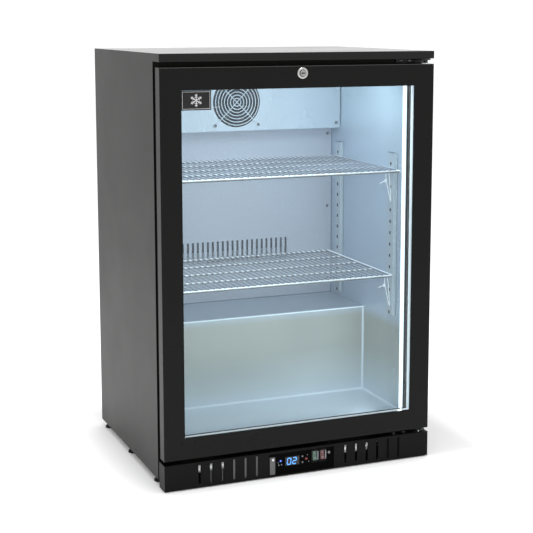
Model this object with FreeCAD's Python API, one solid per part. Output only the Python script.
"""Undercounter bottle refrigerator with one glass door, one STEP file for each separate piece.

Millimetres. +X is the object's right as one faces the door, -Y is the front, +Z is up.
The origin is on the floor, under the middle of the whole object.
"""
import FreeCAD, Part
import math
import os
from FreeCAD import Vector

os.makedirs("parts", exist_ok=True)

# ---------------------------------------------------------------- driving dimensions
WIDTH = 600.0
HEIGHT = 880.0
DEPTH = 487.0  # from the door's face to the back panel
SHEET = 1.0  # outer and inner sheet metal
SIDE_BOTTOM = 15.0  # height of the cabinet's lower edge above the floor
GAP = 0.3  # least gap between pieces that move apart

DOOR_BOTTOM = 65.0
DOOR_TOP = 853.0
DOOR_RAIL = 44.5  # face width of the door frame
DOOR_SHELL = 25.0  # depth of the aluminium frame section
REAR_FRAME = 3.0  # plastic frame on the door's back
FRAME_WALL = 1.6
GASKET_GAP = 15.0  # between the door's back and the cabinet's face
GLASS_RECESS = 5.0
PANE = 4.0
PANE_GAP = 12.0

LIP_BOTTOM = 864.0  # underside of the overhang above the door
PLINTH_TOP = 56.0
PLINTH_BOTTOM = 2.0
PLINTH_DEPTH = 35.5
PLINTH_WALL = 2.0
PLINTH_SLOT_STARTS = (-228.0, 99.5)  # left edge of each bank of slots
PLINTH_SLOTS = 6
PLINTH_SLOT_PITCH = 25.2
PLINTH_SLOT_WIDTH = 5.0
PLINTH_SLOT_Z = (8.0, 51.5)

CAVITY_HALF_WIDTH = 262.0
CAVITY_FLOOR = 91.0
CAVITY_CEILING = 838.0
CAVITY_REAR = 203.0
HUMP_FRONT = 2.0  # raised step over the compressor
HUMP_TOP = 287.0
BAY_FRONT = 45.0  # machine bay under the step
BAY_TOP = 251.0
UNDER_FLOOR = 33.0  # underside of the insulated floor
FRONT_FOLD_BOTTOM = 17.0  # downturned front edge of the underside, between the plinth's brackets
FRONT_FOLD = (-266.0, 186.0)  # its two ends across the width
FOLD_INNER_X = 270.0  # inner edge of the side panels' bottom fold and of the base rails

DUCT_PANEL_Y = 180.0
COVER_Y = 132.0
COVER_BOTTOM = 692.0
FAN_Z = 758.0
FAN_HOLE_RADIUS = 57.0
COVER_HALF_WIDTH = 260.0
DUCT_HALF_WIDTH = 261.0
RETURN_SLOTS = 24
RETURN_SLOT_START = -144.0
RETURN_SLOT_PITCH = 12.3
RETURN_SLOT_WIDTH = 5.0
RETURN_SLOT_Z = (380.0, 430.0)
GUARD_RINGS = 7
GUARD_FIRST_RING = 9.0  # radius of the innermost ring
GUARD_RING_STEP = 7.2
GUARD_EYE_RADIUS = 74.0  # from the fan's axis to each screw eye

SHELF_DEPTH = 340.0
SHELF_HALF_WIDTH = 254.0
UPPER_SHELF_Z = 623.0
LOWER_SHELF_Z = 390.0
UPPER_SHELF_FRONT = -194.0
LOWER_SHELF_FRONT = -164.0
FRAME_WIRE = 3.0  # radius of a shelf's outer wire
CROSS_WIRE = 2.5
GRID_WIRE = 1.5  # radius of the wires that the bottles stand on
GRID_PITCH = 13.0
CROSS_WIRES = 5

PILASTER_STANDOFF = 6.0
PILASTER_FRONT_Y = -138.0
PILASTER_REAR_Y = 134.0
PILASTER_BOTTOM = 299.0
PILASTER_TOP = 658.0
SLOT_PITCH = 25.4
FIRST_SLOT_Z = 303.8
SLOT_HALF = (3.2, 3.5)  # half the width and half the height of a clip slot
UPRIGHT_HALF_WIDTH = 14.0
UPRIGHT_FOOT_EDGE = 22.0
LED_WIDTH = 15.0

HINGE_X = 288.0
HINGE_PIN = 4.0
PIN_CLEARANCE = 0.05
LOCK_Z = 838.5
FOOT_X = 284.0
FOOT_YS = (-166.0, 28.0, 220.0)
STUD_HOLE_RADIUS = 4.3
RAIL_BOTTOM = 16.0
RAIL_TOP = 33.0
RAIL_WALL = 2.0
RAIL_OUTER_X = 298.0
LEAD_HOLE = (-200.0, 38.0)  # x and z of the lead's gland in the rear cover

# ---------------------------------------------------------------- derived places
HALF = WIDTH / 2
FRONT = -DEPTH / 2
BACK = DEPTH / 2
DOOR_BACK = FRONT + DOOR_SHELL + REAR_FRAME
CABINET_FRONT = DOOR_BACK + GASKET_GAP
FACE_BACK = CABINET_FRONT + SHEET
INNER = HALF - SHEET
FLANGE = 16.0  # folded edge of the side panels
FLANGE_X = HALF - FLANGE
OPEN_X = HALF - DOOR_RAIL
OPEN_BOTTOM = DOOR_BOTTOM + DOOR_RAIL
OPEN_TOP = DOOR_TOP - DOOR_RAIL
GLASS_FRONT = FRONT + GLASS_RECESS
INNER_PANE_FRONT = GLASS_FRONT + PANE + PANE_GAP
HINGE_Y = FRONT + 13.5
PILASTER_FACE = CAVITY_HALF_WIDTH - PILASTER_STANDOFF
PROUD = 5.0  # the lock in front and the bumpers behind stand out by this much


# ---------------------------------------------------------------- helpers
def block(x0, x1, y0, y1, z0, z1):
    """A box from its lowest to its highest corner."""
    return Part.makeBox(x1 - x0, y1 - y0, z1 - z0, Vector(x0, y0, z0))


def rod(start, end, radius):
    """A round bar between two points."""
    a, b = Vector(*start), Vector(*end)
    return Part.makeCylinder(radius, (b - a).Length, a, b - a)


def ring_block(half_out, half_in, y0, y1, out_z, in_z):
    """A rectangular frame in the XZ plane, from y0 to y1."""
    outer = block(-half_out, half_out, y0, y1, out_z[0], out_z[1])
    inner = block(-half_in, half_in, y0 - 1, y1 + 1, in_z[0], in_z[1])
    return outer.cut(inner)


def joined(shapes):
    """All the shapes welded into one solid."""
    first, rest = shapes[0], shapes[1:]
    return (first.fuse(rest) if rest else first).removeSplitter()


def group(shapes):
    """Separate solids kept side by side in one node."""
    return Part.makeCompound(shapes)


def bent_tube(points, radius):
    """A tube along straight runs, with a ball filling each corner."""
    pieces = [rod(a, b, radius) for a, b in zip(points, points[1:])]
    pieces += [Part.makeSphere(radius, Vector(*p)) for p in points[1:-1]]
    return joined(pieces)


def rounded(shape, radius, wanted):
    """Fillet the edges whose middle point passes the test."""
    edges = [e for e in shape.Edges if wanted(e.CenterOfMass, e)]
    return shape.makeFillet(radius, edges)


def along_x(edge):
    """True for an edge that runs along X."""
    return edge.BoundBox.XLength > 100 and edge.BoundBox.YLength + edge.BoundBox.ZLength < 0.01


def pan_screw(head_centre, direction, head_radius=3.6, length=9.0):
    """A pan-head screw; the direction points from the head into the work."""
    centre, way = Vector(*head_centre), Vector(*direction)
    head = Part.makeCylinder(head_radius, 2.2, centre - way * 2.2, way)
    recess = Part.makeBox(head_radius * 1.2, 0.9, 0.9)
    recess.translate(Vector(-head_radius * 0.6, -0.45, 0))
    turned = FreeCAD.Rotation(Vector(0, 0, 1), way)
    recess.Placement = FreeCAD.Placement(centre - way * 2.2, turned).multiply(recess.Placement)
    shank = Part.makeCylinder(head_radius * 0.5, length, centre, way)
    return head.fuse(shank).cut(recess)


def save(name, shape):
    shape.exportStep(f"parts/{name}.step")


# ---------------------------------------------------------------- cabinet shell
def side_panel(side):
    """Folded side sheet: skin, front, rear and bottom edges, and the cheek beside the top lip."""
    def strip(x_in, x_out, *rest):
        low, high = sorted((side * x_in, side * x_out))
        return block(low, high, *rest)

    skin = strip(INNER, HALF, CABINET_FRONT, BACK, SIDE_BOTTOM, HEIGHT)
    cheek = strip(INNER, HALF, FRONT, CABINET_FRONT, LIP_BOTTOM, HEIGHT)
    front_fold = strip(FLANGE_X, INNER, CABINET_FRONT, FACE_BACK, SIDE_BOTTOM, HEIGHT - SHEET)
    rear_fold = strip(FLANGE_X, INNER, BACK - SHEET, BACK, SIDE_BOTTOM, HEIGHT - SHEET)
    bottom_fold = strip(FOLD_INNER_X, INNER, FACE_BACK, BACK - SHEET, SIDE_BOTTOM, SIDE_BOTTOM + SHEET)
    panel = joined([skin, cheek, front_fold, rear_fold, bottom_fold])
    for y in FOOT_YS:
        panel = panel.cut(rod((side * FOOT_X, y, 10), (side * FOOT_X, y, 20), STUD_HOLE_RADIUS))
    return panel


def top_panel():
    """Top sheet folded down at the front and back under itself, with the lock's slot below."""
    top = block(-INNER, INNER, FRONT, BACK, HEIGHT - SHEET, HEIGHT)
    lip = block(-INNER, INNER, FRONT, FRONT + SHEET, LIP_BOTTOM, HEIGHT)
    under = block(-INNER, INNER, FRONT, CABINET_FRONT, LIP_BOTTOM, LIP_BOTTOM + SHEET)
    panel = joined([top, lip, under])

    def outer_front(centre, edge):
        return along_x(edge) and abs(centre.y - FRONT) < 0.01

    panel = rounded(panel, 0.9, outer_front)
    return panel.cut(block(-23, 8, HINGE_Y - 2.5, HINGE_Y + 2.5, LIP_BOTTOM - 1, LIP_BOTTOM + 2))


def face_frame():
    """Black frame on the cabinet's face, which the door's magnetic seal closes on."""
    return ring_block(FLANGE_X, CAVITY_HALF_WIDTH, CABINET_FRONT, FACE_BACK,
                      (UNDER_FLOOR + SHEET, HEIGHT - SHEET), (CAVITY_FLOOR, CAVITY_CEILING))


def bottom_panel():
    """Galvanised underside: turned down at the front, stepped up and over the machine bay."""
    floor = block(-FLANGE_X, FLANGE_X, CABINET_FRONT, BAY_FRONT, UNDER_FLOOR, UNDER_FLOOR + SHEET)
    riser = block(-FLANGE_X, FLANGE_X, BAY_FRONT - SHEET, BAY_FRONT, UNDER_FLOOR, BAY_TOP)
    roof = block(-FLANGE_X, FLANGE_X, BAY_FRONT, BACK - SHEET, BAY_TOP - SHEET, BAY_TOP)
    front_fold = block(FRONT_FOLD[0], FRONT_FOLD[1], CABINET_FRONT, FACE_BACK,
                       FRONT_FOLD_BOTTOM, UNDER_FLOOR)
    return joined([floor, riser, roof, front_fold])


def cavity(grow):
    """The inside of the cabinet, with the step left out, made larger by the given amount."""
    room = block(-CAVITY_HALF_WIDTH - grow, CAVITY_HALF_WIDTH + grow, FACE_BACK,
                 CAVITY_REAR + grow, CAVITY_FLOOR - grow, CAVITY_CEILING + grow)
    step = block(-HALF, HALF, HUMP_FRONT + grow, BACK, 0, HUMP_TOP - grow)
    return room.cut(step)


def inner_liner():
    """Embossed aluminium lining: a thin shell round the cavity, open at the front."""
    return cavity(SHEET).cut(cavity(0))


def insulation():
    """Foam between the lining and the outer sheets."""
    foam = block(-INNER, INNER, FACE_BACK, BACK - SHEET, UNDER_FLOOR + SHEET, HEIGHT - SHEET)
    bay = block(-HALF, HALF, BAY_FRONT - SHEET, BACK, 0, BAY_TOP)
    return foam.cut([cavity(SHEET), bay])


def back_panel():
    """Plain rear sheet above the machine bay."""
    return block(-FLANGE_X, FLANGE_X, BACK - SHEET, BACK, BAY_TOP, HEIGHT - SHEET)


def rear_grille():
    """Vented cover of the machine bay, with two banks of louvre slots and the lead's hole."""
    cover = block(-FLANGE_X, FLANGE_X, BACK - SHEET, BACK, 19.0, BAY_TOP - SHEET)
    slots = []
    for row in range(10):
        z = 60.0 + row * 16.0
        for x in (-245.0, -115.0, 15.0, 145.0):
            slots.append(block(x, x + 100.0, BACK - 3, BACK + 2, z, z + 6.0))
    x, z = LEAD_HOLE
    slots.append(rod((x, BACK - 3, z), (x, BACK + 2, z), 7.0))
    return cover.cut(slots)


def base_frame():
    """Galvanised rails under both sides, the machine plate and the plinth's two brackets."""
    plate_top = RAIL_BOTTOM + RAIL_WALL
    bracket_top = RAIL_TOP - RAIL_WALL
    pieces = [block(-FOLD_INNER_X, FOLD_INNER_X, BAY_FRONT + 15, BACK - 4, RAIL_BOTTOM, plate_top)]
    for side in (-1, 1):
        walls = ((FOLD_INNER_X, RAIL_OUTER_X, plate_top),
                 (FOLD_INNER_X, FOLD_INNER_X + RAIL_WALL, RAIL_TOP),
                 (RAIL_OUTER_X - RAIL_WALL, RAIL_OUTER_X, RAIL_TOP))
        for inner, outer, top in walls:
            x0, x1 = sorted((side * inner, side * outer))
            pieces.append(block(x0, x1, -195, BACK - 4, RAIL_BOTTOM, top))
        x0, x1 = sorted((side * (FOLD_INNER_X - RAIL_WALL), side * FOLD_INNER_X))
        pieces.append(block(x0, x1, FRONT + PLINTH_WALL, -150, plate_top, bracket_top))
        x0, x1 = sorted((side * 252, side * FOLD_INNER_X))
        pieces.append(block(x0, x1, FRONT + PLINTH_WALL, FRONT + 4, plate_top, bracket_top))
    frame = joined(pieces)
    for side in (-1, 1):
        for y in FOOT_YS:
            hole = rod((side * FOOT_X, y, 10), (side * FOOT_X, y, 20), STUD_HOLE_RADIUS)
            frame = frame.cut(hole)
    return frame


def foot(side, y):
    """Screw-in levelling foot: a plastic disc and neck on a threaded stud."""
    x = side * FOOT_X
    disc = Part.makeCone(14.0, 12.5, 5.0, Vector(x, y, 0))
    neck = rod((x, y, 5), (x, y, 13), 8.0)
    stud = rod((x, y, 13), (x, y, 32), 4.0)
    return joined([disc, neck, stud])


def rear_bumpers():
    """Four rubber buttons that keep the back off the wall."""
    spots = [(x, z) for x in (-240.0, 240.0) for z in (300.0, 820.0)]
    return group([rod((x, BACK, z), (x, BACK + PROUD, z), 11.0) for x, z in spots])


# ---------------------------------------------------------------- plinth and controls
WINDOW = (-73.0, 75.0, 5.0, 51.0)  # low x, high x, low z, high z
BEZEL_FRONT = FRONT + PLINTH_WALL
BEZEL_BACK = BEZEL_FRONT + 2.0
LENS = (-36.0, -4.0, 21.5, 40.5)
BUTTONS = {"button_up": (3.0, 38.0), "button_down": (3.0, 25.0), "button_power": (12.0, 31.5)}
ROCKERS = {"green_rocker": 31.0, "red_rocker": 49.0}
ROCKER_Z = 35.0
ROCKER_PIVOT_Y = FRONT + 6.5
ROCKER_TILT = 8.0


def plinth_grille():
    """Louvred front skirt with a window for the controls."""
    x0, x1, z0, z1 = WINDOW
    front = block(-HALF, HALF, FRONT, FRONT + PLINTH_WALL, PLINTH_BOTTOM, PLINTH_TOP)
    ends = [block(x, x + PLINTH_WALL, FRONT, FRONT + PLINTH_DEPTH, PLINTH_BOTTOM, PLINTH_TOP)
            for x in (-HALF, HALF - PLINTH_WALL)]
    rim = block(-HALF, HALF, FRONT, FRONT + 6, PLINTH_TOP - 1.5, PLINTH_TOP)
    skirt = joined([front, rim] + ends)
    skirt = rounded(skirt, 0.8, lambda c, e: along_x(e) and abs(c.y - FRONT) < 0.01)
    holes = [block(x0, x1, FRONT - 1, FRONT + PLINTH_WALL + 0.01, z0, z1)]
    for first in PLINTH_SLOT_STARTS:
        for i in range(PLINTH_SLOTS):
            x = first + i * PLINTH_SLOT_PITCH
            holes.append(block(x, x + PLINTH_SLOT_WIDTH, FRONT - 1, FRONT + PLINTH_WALL + 1,
                               *PLINTH_SLOT_Z))
    return skirt.cut(holes)


def control_bezel():
    """Recessed black plate in the plinth's window, pierced for the controls."""
    plate = block(WINDOW[0] - 4, WINDOW[1] + 4, BEZEL_FRONT, BEZEL_BACK, WINDOW[2] - 2, WINDOW[3] + 2)
    x0, x1, z0, z1 = LENS
    holes = [block(x0 - 0.2, x1 + 0.2, FRONT, 0, z0 - 0.2, z1 + 0.2)]
    for x, z in BUTTONS.values():
        holes.append(block(x - 2.8, x + 2.8, FRONT, 0, z - 2.6, z + 2.6))
    for x in ROCKERS.values():
        holes.append(block(x - 7, x + 7, FRONT, 0, ROCKER_Z - 12.5, ROCKER_Z + 12.5))
    return plate.cut(holes)


def controller_lens():
    """Smoked window of the temperature display."""
    x0, x1, z0, z1 = LENS
    return block(x0, x1, BEZEL_FRONT - 0.4, BEZEL_BACK + 1.0, z0, z1)


def control_housings():
    """The controller's case and the two switch bodies behind the bezel."""
    shapes = [block(-58, 19, BEZEL_BACK + 2.2, CABINET_FRONT - 3, 9, 47)]
    for x in ROCKERS.values():
        flange = block(x - 8, x + 8, FRONT + 0.8, BEZEL_FRONT, ROCKER_Z - 14, ROCKER_Z + 14)
        body = block(x - 7, x + 7, BEZEL_FRONT, FRONT + 22, ROCKER_Z - 12.5, ROCKER_Z + 12.5)
        well = block(x - 5.1, x + 5.1, FRONT, FRONT + 14, ROCKER_Z - 11.4, ROCKER_Z + 11.4)
        pivot = rod((x - 6.6, ROCKER_PIVOT_Y, ROCKER_Z), (x + 6.6, ROCKER_PIVOT_Y, ROCKER_Z), 1.55)
        shapes.append(flange.fuse(body).removeSplitter().cut([well, pivot]))
    return group(shapes)


def button(x, z):
    """Small push key with a collar behind the bezel."""
    key = block(x - 2.5, x + 2.5, BEZEL_FRONT - 0.7, BEZEL_BACK + GAP, z - 2.3, z + 2.3)
    key = rounded(key, 0.4, lambda c, e: c.y < BEZEL_FRONT - 0.69)
    collar = block(x - 3.3, x + 3.3, BEZEL_BACK + GAP, BEZEL_BACK + 1.1, z - 3.1, z + 3.1)
    return joined([key, collar])


def rocker(x):
    """Switch rocker with a shallow V face and two pivot stubs, tilted to its resting side."""
    y, z = ROCKER_PIVOT_Y, ROCKER_Z
    outline = [(-4.6, 0.0), (-6.0, 9.8), (2.0, 8.0), (4.0, 0.0), (2.0, -8.0), (-6.0, -9.8)]
    corners = [Vector(x - 4.8, y + dy, z + dz) for dy, dz in outline]
    face = Part.Face(Part.makePolygon(corners + corners[:1]))
    shell = face.extrude(Vector(9.6, 0, 0))
    stubs = rod((x - 6.3, y, z), (x + 6.3, y, z), 1.5)
    body = joined([shell, stubs])
    body.rotate(Vector(x, y, z), Vector(1, 0, 0), -ROCKER_TILT)
    return body


# ---------------------------------------------------------------- inside fittings
def air_duct_panel():
    """Rear duct sheet with side returns and a row of return-air slots."""
    half = DUCT_HALF_WIDTH
    face = block(-half, half, DUCT_PANEL_Y, DUCT_PANEL_Y + SHEET, HUMP_TOP, COVER_BOTTOM)
    sides = [block(x, x + SHEET, DUCT_PANEL_Y, CAVITY_REAR, HUMP_TOP, COVER_BOTTOM)
             for x in (-half, half - SHEET)]
    slots = []
    for i in range(RETURN_SLOTS):
        x = RETURN_SLOT_START + i * RETURN_SLOT_PITCH
        slots.append(block(x, x + RETURN_SLOT_WIDTH, DUCT_PANEL_Y - 1, DUCT_PANEL_Y + 2,
                           *RETURN_SLOT_Z))
    return joined([face] + sides).cut(slots)


def evaporator_cover():
    """Folded cover in front of the cooling coil, with the fan's round opening."""
    top = CAVITY_CEILING - 1
    half = COVER_HALF_WIDTH
    face = block(-half, half, COVER_Y, COVER_Y + SHEET, COVER_BOTTOM, top)
    base = block(-half, half, COVER_Y, CAVITY_REAR - 4, COVER_BOTTOM, COVER_BOTTOM + SHEET)
    sides = [block(x, x + SHEET, COVER_Y, COVER_Y + 12, COVER_BOTTOM, top)
             for x in (-half, half - SHEET)]
    cover = joined([face, base] + sides)
    cover = rounded(cover, 0.9, lambda c, e: along_x(e) and c.y < COVER_Y + 0.01 and c.z < 700)
    opening = rod((0, COVER_Y - 1, FAN_Z), (0, COVER_Y + 2, FAN_Z), FAN_HOLE_RADIUS)
    outlet = [block(x, x + 30, COVER_Y + 55, CAVITY_REAR - 8, COVER_BOTTOM - 1, COVER_BOTTOM + 2)
              for x in range(-235, 220, 44)]
    return cover.cut([opening] + outlet)


def serpentine(ends, rows, radius, axis):
    """One tube that runs to and fro between two ends, its rows joined by half-circle bends."""
    low, high = ends
    pieces = []
    for i, (a, b) in enumerate(rows):
        start = (low, a, b) if axis == "x" else (a, low, b)
        end = (high, a, b) if axis == "x" else (a, high, b)
        pieces.append(rod(start, end, radius))
        if i + 1 < len(rows):
            a2, b2 = rows[i + 1]
            middle = ((a + a2) / 2, (b + b2) / 2)
            bend_radius = math.hypot(a2 - a, b2 - b) / 2
            edge = high if i % 2 == 0 else low
            sign = 1 if i % 2 == 0 else -1
            along = Vector(1, 0, 0) if axis == "x" else Vector(0, 1, 0)
            across = Vector(0, a2 - a, b2 - b) if axis == "x" else Vector(a2 - a, 0, b2 - b)
            centre = Vector(edge, *middle) if axis == "x" else Vector(middle[0], edge, middle[1])
            torus = Part.makeTorus(bend_radius, radius, centre, along.cross(across))
            size = 60.0
            keep = Part.makeBox(size, size, size, Vector(-size / 2, -size / 2, 0))
            turn = FreeCAD.Rotation(Vector(0, 0, 1), along * sign)
            keep.Placement = FreeCAD.Placement(centre, turn).multiply(keep.Placement)
            pieces.append(torus.common(keep))
    return joined(pieces)


def evaporator_coil():
    """Cooling coil behind the fan: pierced fins on one serpentine tube."""
    y0, y1, z0, z1 = 163.0, 199.0, 702.0, 830.0
    rows = [(173.0 if i % 2 == 0 else 189.0, 716.0 + i * 14.3) for i in range(8)]
    fin = block(0, 1.0, y0, y1, z0, z1)
    fin = fin.cut([rod((-2, y, z), (4, y, z), 4.9) for y, z in rows])
    fins = []
    for i in range(24):
        copy = fin.copy()
        copy.translate(Vector(-218.5 + i * 19.0, 0, 0))
        fins.append(copy)
    return group(fins + [serpentine((-232.0, 232.0), rows, 4.8, "x")])


def fan_frame(size, hole, y0, y1, hub):
    """Square fan frame with a motor hub held by four rear struts."""
    half = size / 2
    frame = block(-half, half, y0, y1, FAN_Z - half, FAN_Z + half)
    frame = frame.cut(rod((0, y0 - 1, FAN_Z), (0, y1 + 1, FAN_Z), hole))
    struts = [rod((0, y1 - 5, FAN_Z), (0, y1, FAN_Z), hub)]
    for angle in (0, 90, 180, 270):
        arm = block(hub - 2, hole + 1, y1 - 4, y1, FAN_Z - 3, FAN_Z + 3)
        arm.rotate(Vector(0, 0, FAN_Z), Vector(0, 1, 0), angle)
        struts.append(arm)
    return joined([frame] + struts)


def rotor(hub, tip, thickness, blades, pitch):
    """Axial rotor about +Y, centred on the origin."""
    pieces = [rod((0, -thickness / 2, 0), (0, thickness / 2, 0), hub)]
    for i in range(blades):
        blade = block(hub - 2, tip, -0.8, 0.8, -thickness * 0.8, thickness * 0.8)
        blade.rotate(Vector(0, 0, 0), Vector(1, 0, 0), pitch)
        blade.rotate(Vector(0, 0, 0), Vector(0, 1, 0), i * 360.0 / blades)
        pieces.append(blade)
    bound = rod((0, -thickness, 0), (0, thickness, 0), tip)
    return joined(pieces).common(bound)


def fan_guard():
    """Finger guard: wire rings on two crossed spokes, each end of a spoke bent into a screw eye."""
    y_ring = COVER_Y - 3.0
    pieces = []
    for i in range(GUARD_RINGS):
        radius = GUARD_FIRST_RING + GUARD_RING_STEP * i
        pieces.append(Part.makeTorus(radius, 1.0, Vector(0, y_ring, FAN_Z), Vector(0, 1, 0)))
    reach = GUARD_EYE_RADIUS
    for angle in (45, 135, 225, 315):
        spoke = rod((0, y_ring + 1.5, FAN_Z), (reach - 2, y_ring + 1.5, FAN_Z), 1.25)
        eye = rod((reach, COVER_Y - 2.2, FAN_Z), (reach, COVER_Y, FAN_Z), 5.0)
        both = spoke.fuse(eye)
        both.rotate(Vector(0, 0, FAN_Z), Vector(0, 1, 0), angle)
        pieces.append(both)
    return joined(pieces)


def pilaster(side, y):
    """Slotted hat-section upright that carries the shelf clips."""
    def strip(x_in, x_out, y0, y1):
        low, high = sorted((side * x_in, side * x_out))
        return block(low, high, y0, y1, PILASTER_BOTTOM, PILASTER_TOP)

    half, edge = UPRIGHT_HALF_WIDTH, UPRIGHT_FOOT_EDGE
    face = strip(PILASTER_FACE, PILASTER_FACE + SHEET, y - half, y + half)
    legs = [strip(PILASTER_FACE, CAVITY_HALF_WIDTH, leg, leg + SHEET)
            for leg in (y - half, y + half - SHEET)]
    foot_x = (CAVITY_HALF_WIDTH - SHEET, CAVITY_HALF_WIDTH)
    feet = [strip(*foot_x, y - edge, y - half + SHEET), strip(*foot_x, y + half - SHEET, y + edge)]
    wide, tall = SLOT_HALF
    x0, x1 = sorted((side * (PILASTER_FACE - 1), side * (PILASTER_FACE + 2)))
    slots = []
    z = FIRST_SLOT_Z
    while z < PILASTER_TOP - 6:
        slots.append(block(x0, x1, y - wide, y + wide, z - tall, z + tall))
        z += SLOT_PITCH
    return joined([face] + legs + feet).cut(slots)


def shelf_clip(side, y, shelf_z):
    """Steel clip hooked into a pilaster slot, with a tongue under the shelf's side wire."""
    seat = shelf_z - FRAME_WIRE - GAP
    slot = FIRST_SLOT_Z + SLOT_PITCH * math.floor((seat - 4 - FIRST_SLOT_Z) / SLOT_PITCH)

    def strip(x_in, x_out, half, z0, z1):
        low, high = sorted((side * x_in, side * x_out))
        return block(low, high, y - half, y + half, z0, z1)

    tongue = strip(PILASTER_FACE - 14, PILASTER_FACE, 6, seat - 2, seat)
    plate = strip(PILASTER_FACE - 1.5, PILASTER_FACE, 6, slot - 6, seat)
    hook = strip(PILASTER_FACE, PILASTER_FACE + 3.5, 1.4, slot - 3, slot + 2)
    return joined([tongue, plate, hook])


def wire_shelf(front_y, z):
    """Welded wire shelf: thick outer wires and cross wires under a close row of thin ones."""
    rear_y = front_y + SHELF_DEPTH
    x = SHELF_HALF_WIDTH - FRAME_WIRE
    low, high = front_y + FRAME_WIRE, rear_y - FRAME_WIRE
    corners = [(-x, low, z), (x, low, z), (x, high, z), (-x, high, z)]
    pieces = [rod(a, b, FRAME_WIRE) for a, b in zip(corners, corners[1:] + corners[:1])]
    pieces += [Part.makeSphere(FRAME_WIRE, Vector(*c)) for c in corners]
    for i in range(1, CROSS_WIRES - 1):
        y = low + (high - low) * i / (CROSS_WIRES - 1)
        pieces.append(rod((-x, y, z), (x, y, z), CROSS_WIRE))
    count = int((2 * x - 8) // GRID_PITCH)
    top = z + FRAME_WIRE + GRID_WIRE - 0.8
    for i in range(count + 1):
        across = (i - count / 2) * GRID_PITCH
        pieces.append(rod((across, low - 1, top), (across, high + 1, top), GRID_WIRE))
    return joined(pieces)


def shelf_tie(y, clip_z, slot_z):
    """Nylon tie looped over a clip's tongue and down to the pilaster, with its head and tail."""
    x = PILASTER_FACE - 2.6
    loop = [(x - 4, y + 9, clip_z), (x - 4, y + 9, clip_z - 26), (x, y, slot_z),
            (x - 1, y - 8, clip_z - 26), (x - 4, y - 8.5, clip_z), (x - 4, y + 9, clip_z)]
    band = [rod(a, b, 0.9) for a, b in zip(loop, loop[1:])]
    band += [Part.makeSphere(0.9, Vector(*p)) for p in loop]
    head = block(x - 7, x - 2.5, y + 7, y + 12, clip_z - 24, clip_z - 18)
    tail = rod((x - 5, y + 10, clip_z - 21), (x - 16, y + 15, clip_z - 27), 0.8)
    return joined(band + [head, tail])


def led_strip():
    """Light strip inside the right wall's front edge: aluminium channel and diffuser."""
    x, y0, y1 = CAVITY_HALF_WIDTH, FACE_BACK, FACE_BACK + LED_WIDTH
    z0, z1 = CAVITY_FLOOR + 4, CAVITY_CEILING - 4
    channel = block(x - 1.5, x, y0, y1, z0, z1)
    diffuser = block(x - 3.5, x - 1.5, y0 + 1, y1 - 1, z0 + 2, z1 - 2)
    return channel, diffuser


# ---------------------------------------------------------------- hinges
TOP_PLATE_Z = 860.5
BOTTOM_PLATE_Z = 58.0
PLATE = 3.0
FLANGE_FRONT = CABINET_FRONT - PLATE


def bracket_plate(z):
    """Horizontal hinge ear, cut away on a slant beside the pin."""
    outline = [(262, FLANGE_FRONT), (298, FLANGE_FRONT), (296, HINGE_Y - 6),
               (290, HINGE_Y - 9.5), (283, HINGE_Y - 9.5), (276, HINGE_Y - 4)]
    corners = [Vector(x, y, z) for x, y in outline]
    return Part.Face(Part.makePolygon(corners + corners[:1])).extrude(Vector(0, 0, PLATE))


def hinge_brackets():
    """Upper and lower hinge brackets, each with its pin; the lower pin also holds the closer."""
    top_wall = block(231, 298, FLANGE_FRONT, CABINET_FRONT, 854.8, TOP_PLATE_Z + PLATE)
    top_pin = rod((HINGE_X, HINGE_Y, DOOR_TOP - 14), (HINGE_X, HINGE_Y, TOP_PLATE_Z + 1), HINGE_PIN)
    low_wall = block(226, 298, FLANGE_FRONT, CABINET_FRONT, 38, BOTTOM_PLATE_Z + PLATE)
    low_pin = rod((HINGE_X, HINGE_Y, BOTTOM_PLATE_Z + 1), (HINGE_X, HINGE_Y, 138), HINGE_PIN)
    return group([joined([top_wall, bracket_plate(TOP_PLATE_Z), top_pin]),
                  joined([low_wall, bracket_plate(BOTTOM_PLATE_Z), low_pin])])


def hinge_bushes():
    """Flanged nylon bushes in the door's top and bottom edges."""
    bore = HINGE_PIN + PIN_CLEARANCE
    bushes = []
    for wall, way in ((DOOR_TOP, -1), (DOOR_BOTTOM, 1)):
        def at(distance):
            return (HINGE_X, HINGE_Y, wall + way * distance)
        body = rod(at(0), at(16), 7.0).fuse(rod(at(-1.5), at(0), 9.0)).removeSplitter()
        bushes.append(body.cut(rod(at(-3), at(20), bore)))
    return group(bushes)


def closer_spring():
    """Torsion spring round the lower pin that swings the door shut."""
    coil = Part.makeHelix(2.6, 36.4, 6.4)
    wire = Part.Wire(coil.Edges)
    start = wire.Vertexes[0].Point
    section = Part.Wire(Part.makeCircle(0.9, start, Vector(0, 1, 0.06)))
    spring = wire.makePipeShell([section], True, True)
    spring.translate(Vector(HINGE_X, HINGE_Y, 90))
    return spring


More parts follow.
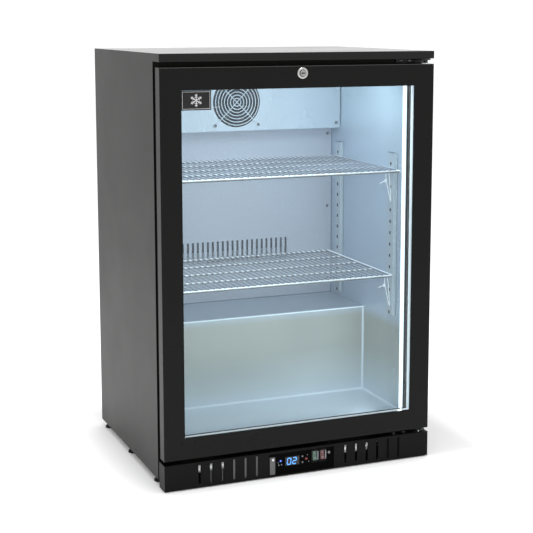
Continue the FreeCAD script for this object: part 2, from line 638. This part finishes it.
# ---------------------------------------------------------------- door
def door_frame():
    """Black aluminium frame section: face, outer wall and the return in front of the glass."""
    outer_z, open_z = (DOOR_BOTTOM, DOOR_TOP), (OPEN_BOTTOM, OPEN_TOP)
    back = FRONT + DOOR_SHELL

    def shrunk(span, by):
        return (span[0] + by, span[1] - by)

    face = ring_block(HALF, OPEN_X, FRONT, FRONT + FRAME_WALL, outer_z, open_z)
    wall = ring_block(HALF, HALF - FRAME_WALL, FRONT, back, outer_z, shrunk(outer_z, FRAME_WALL))
    lip = ring_block(OPEN_X + FRAME_WALL, OPEN_X, FRONT, GLASS_FRONT,
                     shrunk(open_z, -FRAME_WALL), open_z)
    frame = joined([face, wall, lip])

    def front_edge(centre, edge):
        return abs(centre.y - FRONT) < 0.01

    frame = rounded(frame, 0.8, front_edge)
    lock_hole = rod((0, FRONT - 1, LOCK_Z), (0, FRONT + 3, LOCK_Z), 9.5)
    cam_slot = block(-32, 8, HINGE_Y - 2, HINGE_Y + 2, DOOR_TOP - 3, DOOR_TOP + 1)
    bush_holes = [rod((HINGE_X, HINGE_Y, z - 3), (HINGE_X, HINGE_Y, z + 3), 7.0)
                  for z in (DOOR_BOTTOM, DOOR_TOP)]
    return frame.cut([lock_hole, cam_slot] + bush_holes)


def door_inner_frame():
    """Plastic frame that closes the section's back and clamps the glazing."""
    edge = OPEN_X + 2
    return ring_block(HALF, edge, FRONT + DOOR_SHELL, DOOR_BACK, (DOOR_BOTTOM, DOOR_TOP),
                      (OPEN_BOTTOM - 2, OPEN_TOP + 2))


def door_gasket():
    """Magnetic seal between the door's back and the cabinet's face."""
    return ring_block(285.0, 271.0, DOOR_BACK, CABINET_FRONT - GAP, (72, 851.5), (86, 839.0))


def pane(y):
    """One sheet of the double glazing."""
    return block(-OPEN_X - 12, OPEN_X + 12, y, y + PANE, OPEN_BOTTOM - 12, OPEN_TOP + 12)


def glass_spacer():
    """Aluminium spacer between the two panes."""
    return ring_block(OPEN_X + 9.5, OPEN_X + 2, GLASS_FRONT + PANE, INNER_PANE_FRONT,
                      (OPEN_BOTTOM - 9.5, OPEN_TOP + 9.5), (OPEN_BOTTOM - 2, OPEN_TOP + 2))


def badge():
    """Plain nameplate at the glass's upper left corner."""
    plate = block(-OPEN_X + 0.5, -193, GLASS_FRONT - 0.8, GLASS_FRONT, 769.5, OPEN_TOP - 0.5)
    return rounded(plate, 0.3, lambda c, e: c.y < GLASS_FRONT - 0.79)


def lock_housing():
    """Chromed lock ring and barrel through the door's top rail."""
    ring = rod((0, FRONT - 3.5, LOCK_Z), (0, FRONT, LOCK_Z), 12.0)
    ring = rounded(ring, 1.5, lambda c, e: c.y < FRONT - 3.4)
    barrel = rod((0, FRONT, LOCK_Z), (0, HINGE_Y - 3, LOCK_Z), 9.5)
    bore = rod((0, FRONT - 6, LOCK_Z), (0, 0, LOCK_Z), 6.5 + PIN_CLEARANCE)
    return joined([ring, barrel]).cut(bore)


def lock_cylinder():
    """Turning plug with its keyway and the cam that rises behind the top lip."""
    plug = rod((0, FRONT - PROUD, LOCK_Z), (0, HINGE_Y - 1.5, LOCK_Z), 6.5)
    plug = rounded(plug, 0.8, lambda c, e: c.y < FRONT - PROUD + 0.1)
    keyway = block(-4.2, 4.2, FRONT - 6, FRONT - 1, LOCK_Z - 0.9, LOCK_Z + 0.9)
    cam = block(-29, 5, HINGE_Y - 1.5, HINGE_Y + 0.5, LOCK_Z - 5, LOCK_Z + 5)
    return joined([plug, cam]).cut(keyway)


# ---------------------------------------------------------------- machine bay
COMPRESSOR_X, COMPRESSOR_Y = -150.0, 148.0
BLOWER_Y, BLOWER_Z = 148.0, 118.0


def compressor():
    """Hermetic compressor: hollow can on a foot plate, and its terminal box."""
    x, y = COMPRESSOR_X, COMPRESSOR_Y

    def can(radius, low, high, dome):
        body = rod((x, y, low), (x, y, high), radius)
        return rounded(body, dome, lambda c, e: e.BoundBox.ZLength < 0.01)

    shell = can(72.0, 34.0, 196.0, 26.0).cut(can(62.0, 44.0, 186.0, 20.0))
    foot_plate = block(x - 88, x + 88, y - 62, y + 62, 30, 33).cut(
        rod((x, y, 25), (x, y, 40), 55))
    neck = rod((x, y, 30), (x, y, 44), 60).cut(rod((x, y, 20), (x, y, 60), 55))
    terminal = block(x - 92, x - 69, y - 22, y + 22, 88, 140).cut(
        rod((x, y, 80), (x, y, 150), 72.0))
    return group([joined([shell, foot_plate, neck]), terminal])


def compressor_mounts():
    """Four rubber grommets under the compressor's foot plate."""
    spots = [(COMPRESSOR_X + dx, COMPRESSOR_Y + dy) for dx in (-78, 78) for dy in (-50, 50)]
    return group([rod((x, y, 18), (x, y, 30), 10.0) for x, y in spots])


def condenser():
    """Finned condenser with its serpentine tube, and the fan shroud on its inner face."""
    rows = [(192.0 if i % 2 == 0 else 210.0, 42.0 + i * 21.0) for i in range(9)]
    fin = block(180, 222, 0, 1.0, 24, 226)
    fin = fin.cut([rod((x, -3, z), (x, 4, z), 4.9) for x, z in rows])
    fins = []
    for i in range(13):
        copy = fin.copy()
        copy.translate(Vector(0, 76.0 + i * 11.5, 0))
        fins.append(copy)
    tube = serpentine((73.0, 217.0), rows, 4.8, "y")
    shroud = block(177, 179, 62, 232, 18, 228)
    shroud = shroud.cut(rod((170, BLOWER_Y, BLOWER_Z), (190, BLOWER_Y, BLOWER_Z), 78.0))
    tunnel = rod((150, BLOWER_Y, BLOWER_Z), (178, BLOWER_Y, BLOWER_Z), 80.0)
    tunnel = tunnel.cut(rod((140, BLOWER_Y, BLOWER_Z), (190, BLOWER_Y, BLOWER_Z), 78.0))
    return group(fins + [tube, joined([shroud, tunnel])])


def condenser_fan_motor():
    """Small shaded-pole motor on a bent bracket."""
    can = rod((98, BLOWER_Y, BLOWER_Z), (140, BLOWER_Y, BLOWER_Z), 27.0)
    can = rounded(can, 4.0, lambda c, e: e.BoundBox.XLength < 0.01)
    post = block(116, 120, BLOWER_Y - 18, BLOWER_Y + 18, 18, BLOWER_Z)
    sole = block(96, 120, BLOWER_Y - 18, BLOWER_Y + 18, 18, 21)
    return joined([can, post, sole])


def refrigerant_circuit():
    """Discharge, liquid and suction pipes, and the filter drier."""
    x, y = COMPRESSOR_X, COMPRESSOR_Y
    discharge = bent_tube([(x + 60, y - 30, 150), (x + 95, y - 70, 150), (40, 62, 150),
                           (40, 56, 232), (170, 56, 232), (192, 56, 232)], 3.0)
    suction = bent_tube([(x + 40, y + 55, 160), (x + 60, y + 84, 160), (x + 60, y + 84, 243)], 4.8)
    liquid = bent_tube([(210, 238, 214), (140, 238, 214), (60, 234, 214), (40, 225, 190)], 2.4)
    drier = rod((40, 225, 110), (40, 225, 190), 10.0)
    drier = rounded(drier, 6.0, lambda c, e: e.BoundBox.ZLength < 0.01)
    capillary = bent_tube([(40, 225, 110), (40, 225, 60), (-40, 225, 60), (-40, 225, 243)], 1.5)
    return group([discharge, suction, joined([liquid, drier, capillary])])


def drip_tray():
    """Open tray on the compressor where defrost water dries off."""
    x, y = COMPRESSOR_X, COMPRESSOR_Y
    tray = block(x - 75, x + 75, y - 65, y + 70, 196, 226)
    return tray.cut(block(x - 73, x + 73, y - 63, y + 68, 198, 230))


def cord_gland():
    """Strain-relief bush in the rear cover, left without a lead."""
    x, z = LEAD_HOLE
    inside = rod((x, BACK - 8, z), (x, BACK, z), 6.9)
    outside = rod((x, BACK, z), (x, BACK + 4.5, z), 9.5)
    outside = rounded(outside, 1.5, lambda c, e: c.y > BACK + 4.4)
    return joined([inside, outside]).cut(rod((x, BACK - 20, z), (x, BACK + 9, z), 3.8))


# ---------------------------------------------------------------- fasteners
def cabinet_screws():
    """Every visible screw that stays on the cabinet."""
    screws = []
    for x, z in ((243, 859.0), (263, 859.0), (237, 46.5), (262, 46.5)):
        screws.append(pan_screw((x, FLANGE_FRONT, z), (0, 1, 0)))
    for angle in (45, 135, 225, 315):
        dx = GUARD_EYE_RADIUS * math.cos(math.radians(angle))
        dz = GUARD_EYE_RADIUS * math.sin(math.radians(angle))
        screws.append(pan_screw((dx, COVER_Y - 2.2, FAN_Z + dz), (0, 1, 0), 3.2))
    for x in (-250, 250):
        for z in (704, 826):
            screws.append(pan_screw((x, COVER_Y, z), (0, 1, 0)))
        for z in (320, 500, 675):
            screws.append(pan_screw((x, DUCT_PANEL_Y, z), (0, 1, 0)))
    screws.append(pan_screw((64, BEZEL_FRONT, 38.7), (0, 1, 0), 3.1, 6.0))
    for x in (-276, 276):
        for z in (40, 140, 240):
            screws.append(pan_screw((x, BACK, z), (0, -1, 0)))
        for z in (280, 470, 660, 850):
            screws.append(pan_screw((x, BACK, z), (0, -1, 0)))
    return group(screws)


# ---------------------------------------------------------------- write every piece
save("side_panel_left", side_panel(-1))
save("side_panel_right", side_panel(1))
save("top_panel", top_panel())
save("face_frame", face_frame())
save("bottom_panel", bottom_panel())
save("inner_liner", inner_liner())
save("insulation", insulation())
save("back_panel", back_panel())
save("rear_grille", rear_grille())
save("base_frame", base_frame())
save("rear_bumpers", rear_bumpers())
for side, side_name in ((-1, "left"), (1, "right")):
    for y, place in zip(FOOT_YS, ("front", "middle", "rear")):
        save(f"foot_{place}_{side_name}", foot(side, y))

save("plinth_grille", plinth_grille())
save("control_bezel", control_bezel())
save("controller_lens", controller_lens())
save("control_housings", control_housings())
for name, (x, z) in BUTTONS.items():
    save(name, button(x, z))
for name, x in ROCKERS.items():
    save(name, rocker(x))

save("air_duct_panel", air_duct_panel())
save("evaporator_cover", evaporator_cover())
save("evaporator_coil", evaporator_coil())
save("evaporator_fan_housing", fan_frame(118.0, FAN_HOLE_RADIUS, COVER_Y + SHEET, 158.0, 19.0))
evaporator_rotor = rotor(20.0, 54.5, 13.0, 7, 38.0)
evaporator_rotor.translate(Vector(0, 143.5, FAN_Z))
save("evaporator_fan_rotor", evaporator_rotor)
save("fan_guard", fan_guard())
uprights = [(side, y) for side in (-1, 1) for y in (PILASTER_FRONT_Y, PILASTER_REAR_Y)]
save("pilasters", group([pilaster(side, y) for side, y in uprights]))
levels = (UPPER_SHELF_Z, LOWER_SHELF_Z)
save("shelf_clips", group([shelf_clip(s, y, z) for s, y in uprights for z in levels]))
save("shelf_ties", group([shelf_tie(PILASTER_FRONT_Y, UPPER_SHELF_Z - 6.5, 552),
                          shelf_tie(PILASTER_FRONT_Y, LOWER_SHELF_Z - 6.5, 320)]))
save("upper_shelf", wire_shelf(UPPER_SHELF_FRONT, UPPER_SHELF_Z))
save("lower_shelf", wire_shelf(LOWER_SHELF_FRONT, LOWER_SHELF_Z))
led_channel, led_diffuser = led_strip()
save("led_channel", led_channel)
save("led_diffuser", led_diffuser)

save("hinge_brackets", hinge_brackets())
save("hinge_bushes", hinge_bushes())
save("closer_spring", closer_spring())
save("door_frame", door_frame())
save("door_inner_frame", door_inner_frame())
save("door_gasket", door_gasket())
save("glass_outer", pane(GLASS_FRONT))
save("glass_inner", pane(INNER_PANE_FRONT))
save("glass_spacer", glass_spacer())
save("badge", badge())
save("lock_housing", lock_housing())
save("lock_cylinder", lock_cylinder())

save("compressor", compressor())
save("compressor_mounts", compressor_mounts())
save("condenser", condenser())
save("condenser_fan_motor", condenser_fan_motor())
blower = rotor(22.0, 74.0, 16.0, 5, 35.0)
blower.rotate(Vector(0, 0, 0), Vector(0, 0, 1), 90)
blower.translate(Vector(156, BLOWER_Y, BLOWER_Z))
save("condenser_fan_rotor", blower)
save("refrigerant_circuit", refrigerant_circuit())
save("drip_tray", drip_tray())
save("cord_gland", cord_gland())
save("cabinet_screws", cabinet_screws())
